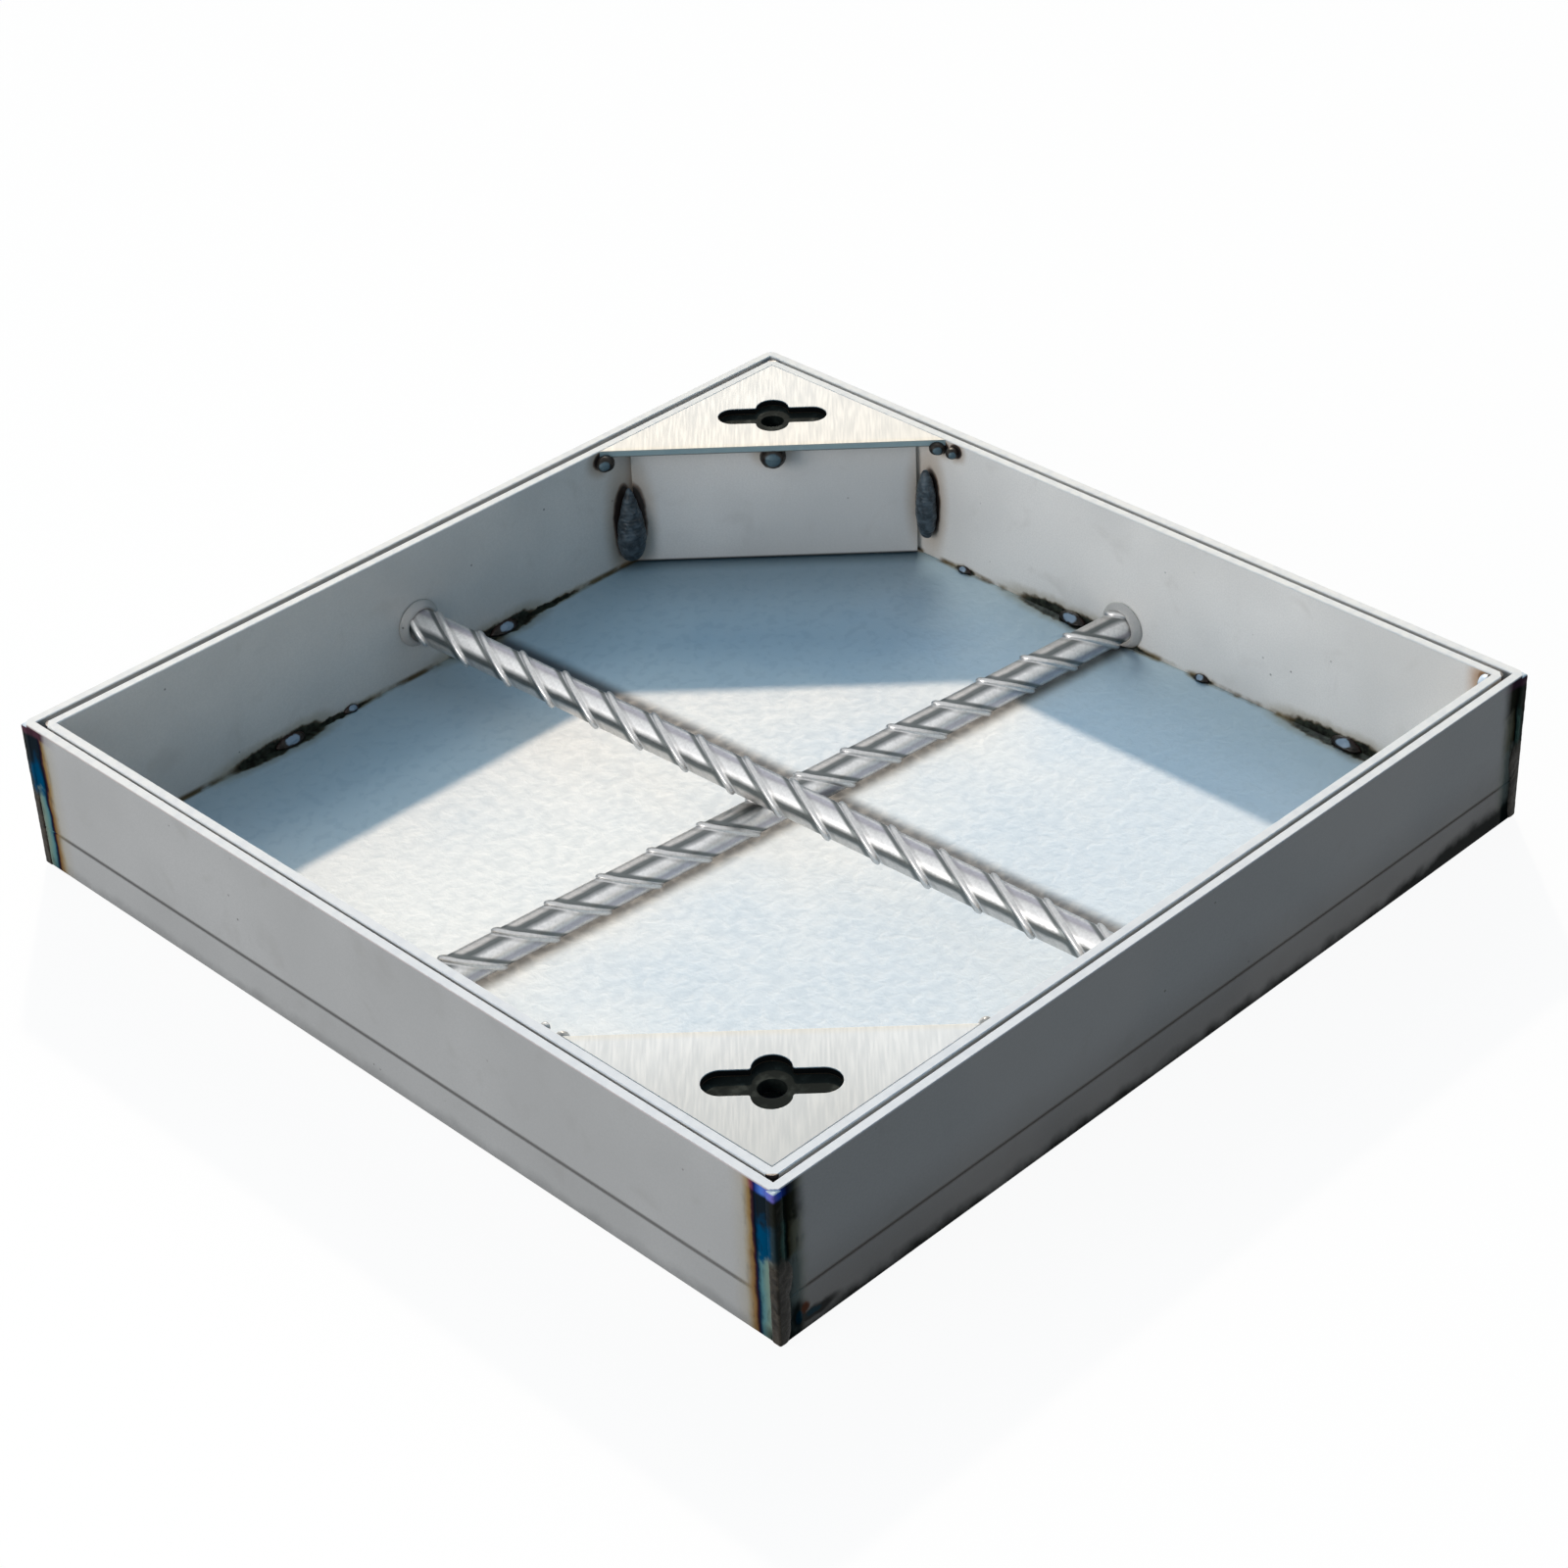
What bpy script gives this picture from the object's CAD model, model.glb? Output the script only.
# %% [markdown]
# # A recessed paving cover
# A square steel frame is set in the ground, and a loose tray lies in it. Paving is laid in the
# tray, so that only thin steel edges and two small corner plates show. Two ribbed bars hold
# the paving's bedding, and a key in either corner plate lifts the tray.
# The shapes come from the CAD part. This script gives them their finishes, and models again
# what a CAD solid can't show well: rolled ribs and rough weld metal.

# %% Load the CAD part
import bpy
import math
from mathutils import Matrix, Vector


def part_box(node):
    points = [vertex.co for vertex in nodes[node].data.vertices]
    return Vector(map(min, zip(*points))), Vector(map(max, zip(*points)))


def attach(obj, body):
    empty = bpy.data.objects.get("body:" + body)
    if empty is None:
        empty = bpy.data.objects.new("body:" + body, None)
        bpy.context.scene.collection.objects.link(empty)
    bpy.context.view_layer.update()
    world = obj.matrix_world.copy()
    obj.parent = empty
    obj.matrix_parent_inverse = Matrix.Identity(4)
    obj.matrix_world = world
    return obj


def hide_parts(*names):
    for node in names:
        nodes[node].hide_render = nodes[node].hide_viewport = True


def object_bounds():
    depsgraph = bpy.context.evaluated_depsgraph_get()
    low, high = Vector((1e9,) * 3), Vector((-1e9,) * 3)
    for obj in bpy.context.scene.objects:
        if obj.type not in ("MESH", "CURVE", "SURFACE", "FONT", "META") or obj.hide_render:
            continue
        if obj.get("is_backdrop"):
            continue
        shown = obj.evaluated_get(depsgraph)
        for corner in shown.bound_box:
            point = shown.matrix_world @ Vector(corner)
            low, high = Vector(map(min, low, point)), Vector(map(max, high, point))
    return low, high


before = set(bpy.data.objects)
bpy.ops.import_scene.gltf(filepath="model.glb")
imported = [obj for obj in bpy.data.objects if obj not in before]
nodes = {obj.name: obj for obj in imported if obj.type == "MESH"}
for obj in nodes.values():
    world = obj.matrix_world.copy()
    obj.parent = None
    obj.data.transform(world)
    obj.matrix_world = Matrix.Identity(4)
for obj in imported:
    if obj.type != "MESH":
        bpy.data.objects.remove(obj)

cad_low, cad_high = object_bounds()
mm = 0.001
print("CAD nodes:", len(nodes), "box in mm:", [round(v / mm, 1) for v in (*cad_low, *cad_high)])

# %% [markdown]
# ## Camera
# The photo was taken from above one corner, with a long lens. The camera's place comes first,
# because every later choice is judged through it. A camera can be set by its place and three
# angles: round the object, above the horizon, and its own roll.

# %% Set up the camera
camera_place = Vector((-0.772, -0.808, 0.7856))
camera_azimuth = math.radians(-43.86)
camera_elevation = math.radians(34.22)
camera_roll = math.radians(-2.5)
camera_lens = 81.3

backward = Vector((
    math.sin(camera_azimuth) * math.cos(camera_elevation),
    -math.cos(camera_azimuth) * math.cos(camera_elevation),
    math.sin(camera_elevation),
))
bpy.ops.object.camera_add(location=camera_place)
camera = bpy.context.object
aim = (-backward).to_track_quat("-Z", "Y").to_matrix().to_4x4()
camera.rotation_euler = aim.to_euler()
camera.rotation_euler.rotate_axis("Z", camera_roll)
camera.data.lens = camera_lens
bpy.context.scene.camera = camera
print("camera looks along", [round(v, 3) for v in -backward])

# %% [markdown]
# ## Light
# Low sun comes over the far corner, so the two far walls shade the tray's floor, and the walls
# that face the camera lie in open shade. A hazier second sun stands for the bright sky round
# the first, and a soft light from the left opens up the left side. The sky is a dim blue light
# for the object and plain white behind it.

# %% Add the lights
def add_light(name, kind, place, target, power, colour):
    """A lamp at a place, aimed at a target."""
    lamp = bpy.data.objects.new(name, bpy.data.lights.new(name, kind))
    bpy.context.collection.objects.link(lamp)
    lamp.location = place
    lamp.rotation_euler = (Vector(target) - Vector(place)).to_track_quat("-Z", "Y").to_euler()
    lamp.data.energy = power
    lamp.data.color = colour
    return lamp


SUN_PLACE = (0.63, 0.73, 0.60)
SUN_COLOUR = (1.0, 0.83, 0.66)
HAZE_COLOUR = (0.84, 0.95, 0.93)
sun = add_light("sun", "SUN", SUN_PLACE, (0, 0, 0), 3.08, SUN_COLOUR)
sun.data.angle = math.radians(2)
haze = add_light("haze", "SUN", SUN_PLACE, (0, 0, 0), 1.12, HAZE_COLOUR)
haze.data.angle = math.radians(30)
left_fill = add_light("left_fill", "AREA", (-1.9, 0.25, 0.62), (0, 0, 0.03), 26, (1.0, 0.96, 0.92))
left_fill.data.size = 1.3
print("lamps:", sun.name, haze.name, left_fill.name)


# %% Add the sky and the floor
def light_path_mask(tree):
    """1 for rays that see a surface directly, in a mirror or through glass, otherwise 0."""
    path = tree.nodes.new("ShaderNodeLightPath")
    seen = path.outputs["Is Camera Ray"]
    for word in ("Is Glossy Ray", "Is Transmission Ray"):
        either = tree.nodes.new("ShaderNodeMath")
        either.operation = "MAXIMUM"
        tree.links.new(seen, either.inputs[0])
        tree.links.new(path.outputs[word], either.inputs[1])
        seen = either.outputs[0]
    return seen


def mixed(tree, share, under, over):
    """A colour between two others, of which the lower one may be a socket."""
    mix = tree.nodes.new("ShaderNodeMix")
    mix.data_type = "RGBA"
    tree.links.new(share, mix.inputs["Factor"])
    if isinstance(under, bpy.types.NodeSocket):
        tree.links.new(under, mix.inputs["A"])
    else:
        mix.inputs["A"].default_value = under
    mix.inputs["B"].default_value = over
    return mix.outputs["Result"]


def make_sky(overhead, horizon):
    """A world that lights with blue from overhead and greyer light from the side, and shows white."""
    world = bpy.data.worlds.new("sky")
    world.use_nodes = True
    bpy.context.scene.world = world
    tree = world.node_tree
    direction = tree.nodes.new("ShaderNodeTexCoord")
    split = tree.nodes.new("ShaderNodeSeparateXYZ")
    tree.links.new(direction.outputs["Generated"], split.inputs[0])
    rise = tree.nodes.new("ShaderNodeMapRange")
    rise.inputs["From Min"].default_value = 0.1
    rise.inputs["From Max"].default_value = 0.8
    tree.links.new(split.outputs["Z"], rise.inputs["Value"])
    blue = mixed(tree, rise.outputs[0], (*horizon, 1), (*overhead, 1))
    shown = mixed(tree, light_path_mask(tree), blue, (1, 1, 1, 1))
    tree.links.new(shown, tree.nodes["Background"].inputs["Color"])


def make_floor(size, gap, glow):
    """A pale floor a hair below the object, which glows where it is seen and throws little light."""
    bpy.ops.mesh.primitive_plane_add(size=size, location=(0, 0, -gap))
    floor = bpy.context.object
    floor.name = "studio_floor"
    material = bpy.data.materials.new("studio floor")
    material.use_nodes = True
    floor.data.materials.append(material)
    tree = material.node_tree
    shader = tree.nodes["Principled BSDF"]
    shader.inputs["Roughness"].default_value = 0.9
    seen = light_path_mask(tree)
    shade = mixed(tree, seen, (0.12, 0.13, 0.14, 1), (0.88, 0.88, 0.88, 1))
    tree.links.new(shade, shader.inputs["Base Color"])
    white = tree.nodes.new("ShaderNodeEmission")
    share = tree.nodes.new("ShaderNodeMath")
    share.operation = "MULTIPLY"
    share.inputs[1].default_value = glow
    tree.links.new(seen, share.inputs[0])
    mix = tree.nodes.new("ShaderNodeMixShader")
    for output, socket in ((share, mix.inputs["Fac"]), (shader, mix.inputs[1]), (white, mix.inputs[2])):
        tree.links.new(output.outputs[0], socket)
    tree.links.new(mix.outputs[0], tree.nodes["Material Output"].inputs["Surface"])
    floor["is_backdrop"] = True


bpy.context.scene.view_settings.view_transform = "Standard"
make_sky((0.132, 0.268, 0.39), (0.105, 0.17, 0.215))
make_floor(12, 0.3 * mm, 0.94)
print("sky and floor are in place")


# %% [markdown]
# ## Building materials from nodes
# A real finish is a base colour with marks laid over it, like coats of paint. A small class
# keeps the node work short: each method adds a node or two and hands back an output that the
# next method can use. Places are read in metres from the Object coordinates, which are the
# cover's own, so marks stay where they belong on the steel.

# %% A helper for materials
def grey(level, warmth=0.0):
    """A grey as the eye sees it, from 0 to 1, made a little warmer or, below zero, bluer."""
    red, green, blue = level * (1 + warmth), level, level * (1 - warmth)
    return tone(red, green, blue)


def tone(red, green, blue):
    """A colour as the eye sees it, from 0 to 1, turned into the linear light that nodes use."""
    return tuple(max(v, 0) ** 2.2 for v in (red, green, blue)) + (1,)


class Finish:
    """A material, and the words used to lay marks over its base colour."""

    def __init__(self, name, metallic, roughness, shine=0.3):
        self.material = bpy.data.materials.new(name)
        self.material.use_nodes = True
        self.tree = self.material.node_tree
        self.shader = self.tree.nodes["Principled BSDF"]
        self.shader.inputs["Metallic"].default_value = metallic
        self.shader.inputs["Roughness"].default_value = roughness
        self.shader.inputs["Specular IOR Level"].default_value = shine
        self.place = self.tree.nodes.new("ShaderNodeTexCoord").outputs["Object"]
        self.normal = None
        self.dullness = 0.0

    def give(self, socket, value):
        """Sets an input, or joins it to another node's output."""
        if isinstance(value, bpy.types.NodeSocket):
            self.tree.links.new(value, socket)
        else:
            socket.default_value = value

    def node(self, kind, inputs, **settings):
        """A new node with its settings and its inputs, which are given by name or in order."""
        node = self.tree.nodes.new("ShaderNode" + kind)
        for name, value in settings.items():
            setattr(node, name, value)
        for key, value in inputs.items() if isinstance(inputs, dict) else enumerate(inputs):
            self.give(node.inputs[key], value)
        return node

    def math(self, operation, *values):
        """One step of arithmetic."""
        return self.node("Math", values, operation=operation).outputs[0]

    def times(self, *values):
        """Two values multiplied, so that a mark lies only where both are high."""
        return self.math("MULTIPLY", *values)

    def vector(self, operation, *values):
        """One step of arithmetic on places."""
        node = self.node("VectorMath", values, operation=operation)
        return node.outputs["Value" if operation in ("LENGTH", "DOT_PRODUCT") else "Vector"]

    def split(self, place):
        """The x, y and z of a place."""
        return self.node("SeparateXYZ", [place]).outputs[:3]

    def step(self, value, low, high, to_low=0.0, to_high=1.0):
        """Changes smoothly from one number to another while the value goes from low to high."""
        sockets = {"Value": value, "From Min": low, "From Max": high, "To Min": to_low, "To Max": to_high}
        return self.node("MapRange", sockets, interpolation_type="SMOOTHSTEP").outputs["Result"]

    def stretched(self, turn, factors):
        """The place in turned axes, with patterns drawn out along them by these factors."""
        sockets = {"Rotation": (0, 0, turn), "Scale": factors, "Vector": self.place}
        return self.node("Mapping", sockets, vector_type="TEXTURE").outputs[0]

    def noise(self, size, detail=3.0, place=None, distortion=0.0, output="Fac"):
        """Cloudy noise whose patches are about so many millimetres across."""
        return self.node("TexNoise", {"Scale": 1 / (size * mm), "Detail": detail, "Distortion": distortion,
                                      "Vector": place or self.place}).outputs[output]

    def cells(self, size, output="Distance"):
        """A cell pattern, for crystals and specks."""
        return self.node("TexVoronoi", {"Scale": 1 / (size * mm), "Vector": self.place}).outputs[output]

    def over(self, share, under, colour):
        """Lays a colour over another one."""
        return self.node("Mix", {0: share, 6: under, 7: colour}, data_type="RGBA").outputs[2]

    def mark(self, under, colour, value, low, high, strength=1.0):
        """Lays a colour over another one where a value goes from low to high."""
        return self.over(self.step(value, low, high, 0, strength), under, colour)

    def ramp(self, value, stops):
        """A row of colours along a value from 0 to 1."""
        node = self.node("ValToRGB", [value])
        line = node.color_ramp.elements
        while len(line) < len(stops):
            line.new(1)
        for element, (position, colour) in zip(line, stops):
            element.position = position
            element.color = colour
        return node.outputs[0]

    def bump(self, height, depth):
        """Adds relief of so many millimetres on top of any that is there."""
        sockets = {"Distance": depth * mm, "Height": height}
        if self.normal:
            sockets["Normal"] = self.normal
        self.normal = self.node("Bump", sockets).outputs[0]

    def dull(self, share):
        """Takes the shine off where soot, heat colours or a ground edge lie."""
        self.dullness = self.math("MAXIMUM", self.dullness, share)

    def done(self, colour, roughness):
        """Joins the finished colour, roughness and relief to the shader."""
        self.give(self.shader.inputs["Base Color"], colour)
        for name in ("Metallic", "Specular IOR Level"):
            shine = self.shader.inputs[name]
            bright = shine.default_value
            self.give(shine, self.math("MULTIPLY_ADD", self.dullness, -bright, bright))
        self.give(self.shader.inputs["Roughness"], roughness)
        if self.normal:
            self.give(self.shader.inputs["Normal"], self.normal)
        print("finish:", self.material.name)
        return self.material


def paint(node_name, material):
    """Gives a CAD node a material, on the object and not on its mesh."""
    slot = nodes[node_name].material_slots[0]
    slot.link = "OBJECT"
    slot.material = material


# %% [markdown]
# ## Where the welds are
# Heat marks spread from each weld, so the materials need the welds' places and sizes. They are
# measured on the CAD nodes: a copy of a node has its loose triangles merged, and falls into
# one part for each weld. That is better than typing the places in again.

# %% Measure the welds
def own_copy(name, mesh):
    """A new object with its own copy of a mesh and no material, the only one selected."""
    bpy.ops.object.select_all(action="DESELECT")
    copy = bpy.data.objects.new(name, mesh.copy())
    bpy.context.collection.objects.link(copy)
    copy.data.materials.clear()
    bpy.context.view_layer.objects.active = copy
    copy.select_set(True)
    return copy


def on_whole_mesh(operator, **settings):
    """Runs one edit mode operator on all of the active object's mesh."""
    bpy.ops.object.mode_set(mode="EDIT")
    bpy.ops.mesh.select_all(action="SELECT")
    operator(**settings)
    bpy.ops.object.mode_set(mode="OBJECT")


def merged_copy(node_name, name):
    """A copy of a CAD node as one whole mesh, free of the CAD object."""
    copy = own_copy(name, nodes[node_name].data)
    on_whole_mesh(bpy.ops.mesh.remove_doubles, threshold=0.01 * mm)
    return copy


def lumps_of(node_name):
    """The middle and the half size of each separate part of a node."""
    merged_copy(node_name, "measured")
    bpy.ops.mesh.separate(type="LOOSE")
    lumps = []
    for part in list(bpy.context.selected_objects):
        low, high = (Vector(part.bound_box[corner]) for corner in (0, 6))
        lumps.append(((low + high) / 2, (high - low) / 2))
        bpy.data.objects.remove(part)
    return lumps


CORNERS = ("front_left", "front_right", "back_right", "back_left")
SIDES = ("front", "right", "back", "left")
POCKETS = ("front_left", "back_right")
floor_low, floor_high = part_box("tray_floor")
tray_middle = Vector(((floor_low.x + floor_high.x) / 2, (floor_low.y + floor_high.y) / 2, 0))


def half_turn(point):
    """The same place at the opposite corner of the tray."""
    return Vector((2 * tray_middle.x - point[0], 2 * tray_middle.y - point[1], point[2]))


def at_corner(corner, rows):
    """The middle and half size of lumps, from mm at the back right corner to metres at this one."""
    lumps = [(Vector(centre) * mm, Vector(half) * mm) for centre, half in rows]
    if corner == "front_left":
        lumps = [(half_turn(centre), half) for centre, half in lumps]
    return lumps


# The middle and half size of each lump in mm, a little lower and wider apart than in the CAD.
POCKET_LUMPS = {
    "drop": ((98.5, 185.4, 26.5), (6.1, 5.0, 18.0)),
    "oval": ((187.0, 95.0, 32.0), (4.1, 4.8, 16.8)),
}
EDGE_LUMPS = (
    ((140.8, 139.9, 58.2), (5.6, 5.6, 5.0)), ((87.6, 186.4, 60.0), (4.2, 3.4, 3.7)),
    ((187.4, 88.6, 61.2), (3.3, 3.5, 2.9)), ((188.0, 80.6, 61.4), (2.6, 2.7, 2.6)),
)
floor_tacks = {side: lumps_of("floor_tacks_" + side) for side in ("back", "right")}
PEAR_TOP = ((98.5, 186.0, 34.0), (4.0, 4.0, 11.0))
pocket_welds = [lump for corner in POCKETS for lump in at_corner(corner, (*POCKET_LUMPS.values(), PEAR_TOP))]
edge_tacks = [lump for corner in POCKETS for lump in at_corner(corner, EDGE_LUMPS)]
inside_tack = lumps_of("tray_inside_tack")
print("floor tacks:", {side: len(row) for side, row in floor_tacks.items()})
print("pocket welds:", len(pocket_welds), "plate edge tacks:", len(edge_tacks))


# %% Heat marks round the welds
def nearest(finish, place, lumps, margin=0.0):
    """How far a place is from the nearest lump: 1 on a shell that stands off it by a margin."""
    closest = None
    for centre, half in lumps:
        reach = [side + margin * mm for side in half]
        offset = finish.vector("SUBTRACT", place, centre)
        away = finish.vector("LENGTH", finish.vector("DIVIDE", offset, reach))
        closest = away if closest is None else finish.math("MINIMUM", closest, away)
    return closest


def wavering(finish, size, reach):
    """The place, pushed about by noise, so that a mark's outline wavers."""
    push = finish.noise(size, detail=3, output="Color")
    centred = finish.vector("SUBTRACT", push, (0.5, 0.5, 0.5))
    scaled = finish.vector("MULTIPLY", centred, (2 * reach * mm,) * 3)
    return finish.vector("ADD", finish.place, scaled)


def half_turned(finish, place, axis):
    """The place as seen from the other side of the tray where its x (0) or y (1) is below the
    middle, because opposite walls carry the same row of tacks, turned half round."""
    local = finish.vector("SUBTRACT", place, tray_middle)
    x, y, z = finish.split(local)
    side = finish.math("SIGN", (x, y)[axis])
    joined = finish.node("CombineXYZ", (finish.times(x, side), finish.times(y, side), z))
    return finish.vector("ADD", joined.outputs[0], tray_middle)


def from_walls(finish):
    """How far a place inside the tray is from the side walls, and from the pocket walls."""
    half = (floor_high - floor_low) / 2
    low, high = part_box("pocket_wall_back_right")
    across = low.x + high.y - tray_middle.x - tray_middle.y
    x, y = finish.split(finish.vector("SUBTRACT", finish.place, tray_middle))[:2]
    to_sides = finish.math("MINIMUM", finish.math("SUBTRACT", half.x, finish.math("ABSOLUTE", x)),
                           finish.math("SUBTRACT", half.y, finish.math("ABSOLUTE", y)))
    to_pockets = finish.times(finish.math("SUBTRACT", across, finish.math(
        "ABSOLUTE", finish.math("ADD", x, y))), math.sqrt(0.5))
    return to_sides, to_pockets


def floor_rows(finish, place, shape):
    """The distance to something that repeats at every floor tack, on all four walls."""
    closest = None
    for axis, side in ((1, "back"), (0, "right")):
        lumps = [lump for tack in floor_tacks[side] for lump in shape(axis, *tack)]
        away = nearest(finish, half_turned(finish, place, axis), lumps)
        closest = away if closest is None else finish.math("MINIMUM", closest, away)
    return closest


def burnt_leaf(axis, centre, half):
    """A tall blunt spot at a floor tack and a long thin blade trailing off it, to the left of
    whoever stands in the tray. Short tacks hardly burn the sheet."""
    along = 1 - axis
    left = -1 if along == 0 else 1
    foot = Vector(centre)
    foot[axis] += half[axis]
    foot.z = floor_high.z
    is_long = half[along] > 5 * mm
    lumps = []
    rows = ((-6, 12, 4.6), (10, 19, 4.3), (-20, 22, 1.7)) if is_long else ((0, 5.5, 1.6),)
    for shift, length, height in rows:
        middle, reach = foot.copy(), Vector((height * mm, height * mm, height * mm))
        middle[along] += left * shift * mm
        reach[along] = length * mm
        lumps.append((middle, reach))
    return lumps


def tack_heart(axis, centre, half):
    """The bright middle of a floor tack, on the side that faces the room."""
    along = 1 - axis
    middle = Vector(centre)
    middle[axis] -= 0.5 * half[axis]
    middle.z += 0.4 * half.z
    reach = half * 0.95
    reach[along] = half[along] * 0.5
    return [(middle, reach)]


def scorch(finish, colour):
    """Lays an olive rim, a brown band and a black heart round the floor tacks, and a thin brown
    line along the joint."""
    burn = floor_rows(finish, wavering(finish, 4, 1.7), burnt_leaf)
    to_sides = from_walls(finish)[0]
    height = finish.split(finish.place)[2]
    joint = finish.math("MAXIMUM", to_sides, finish.math("SUBTRACT", height, floor_high.z))
    patches = finish.step(finish.noise(14, detail=4), 0.42, 0.62)
    colour = finish.over(finish.times(finish.step(joint, 2.4 * mm, 0.3 * mm), patches),
                         colour, tone(0.42, 0.36, 0.27))
    colour = finish.mark(colour, tone(0.55, 0.50, 0.38), burn, 2.1, 0.95, 0.5)
    colour = finish.mark(colour, tone(0.27, 0.22, 0.14), burn, 1.2, 0.9, 0.9)
    streaks = finish.step(finish.noise(2.2, detail=4), 0.35, 0.65)
    heart = finish.over(streaks, tone(0.05, 0.06, 0.05), tone(0.20, 0.22, 0.19))
    return finish.mark(colour, heart, burn, 0.98, 0.8)


def heat_ring(finish, colour, lumps):
    """A dark line close round each weld with a straw-brown halo outside it."""
    away = nearest(finish, wavering(finish, 6, 0.8), lumps, 1.0)
    colour = finish.mark(colour, tone(0.60, 0.50, 0.38), away, 2.1, 1.05, 0.5)
    colour = finish.mark(colour, tone(0.36, 0.25, 0.19), away, 1.2, 1.08, 0.75)
    return finish.mark(colour, tone(0.15, 0.13, 0.13), away, 1.1, 1.0, 0.9)


# %% [markdown]
# ## Sheet steel
# The frame and the tray are cut from rolled stainless sheet, left as it came from the mill:
# satin grey with soft clouds, a fine grain and a few specks. Sawn and ground edges are nearly
# white. A flat grey would look like plastic, so the clouds and the grain change both colour
# and gloss.

# %% Rolled sheet and its bright cut edges
def rolled_sheet(finish, level, warmth=0.0):
    """The colour and the roughness of rolled sheet, before any heat marks."""
    clouds = finish.step(finish.noise(60, detail=2), 0.3, 0.7)
    colour = finish.over(clouds, grey(level * 0.965, warmth), grey(level * 1.03, warmth))
    stains = finish.step(finish.noise(16, detail=4, distortion=0.5), 0.56, 0.8, 0, 0.35)
    colour = finish.over(stains, colour, grey(level * 0.86, warmth + 0.015))
    grain = finish.step(finish.noise(0.7, detail=3), 0.3, 0.7, 0, 0.28)
    colour = finish.over(grain, colour, grey(level * 0.9, warmth))
    dots = finish.times(finish.step(finish.cells(9), 0.075, 0.035),
                       finish.step(finish.noise(21), 0.53, 0.62, 0, 0.7))
    colour = finish.over(dots, colour, grey(0.25, 0.06))
    finish.bump(finish.noise(0.5, detail=2), 0.012)
    return colour, finish.step(clouds, 0, 1, 0.42, 0.52)


def bright_top(finish, colour):
    """Ground metal on the cut edge that faces up, warm by the far corner and cooler by the near
    one, with a thin brown line where it meets the outer face."""
    top = cad_high[2]
    x, y, z = finish.split(finish.place)
    far = finish.step(finish.math("ADD", x, y), -0.33, 0.15)
    ground = finish.over(far, tone(0.88, 0.88, 0.89), tone(0.95, 0.93, 0.91))
    nicks = finish.step(finish.noise(4, detail=4), 0.35, 0.75, 0, 0.3)
    ground = finish.over(nicks, ground, tone(0.78, 0.79, 0.82))
    outer = finish.math("MAXIMUM", finish.math("ABSOLUTE", x), finish.math("ABSOLUTE", y))
    ground = finish.mark(ground, tone(0.76, 0.66, 0.62), outer, 199.4 * mm, 200.0 * mm, 0.8)
    up = finish.step(z, top - 0.5 * mm, top - 0.1 * mm)
    finish.dull(up)
    return finish.over(up, colour, ground)


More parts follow.
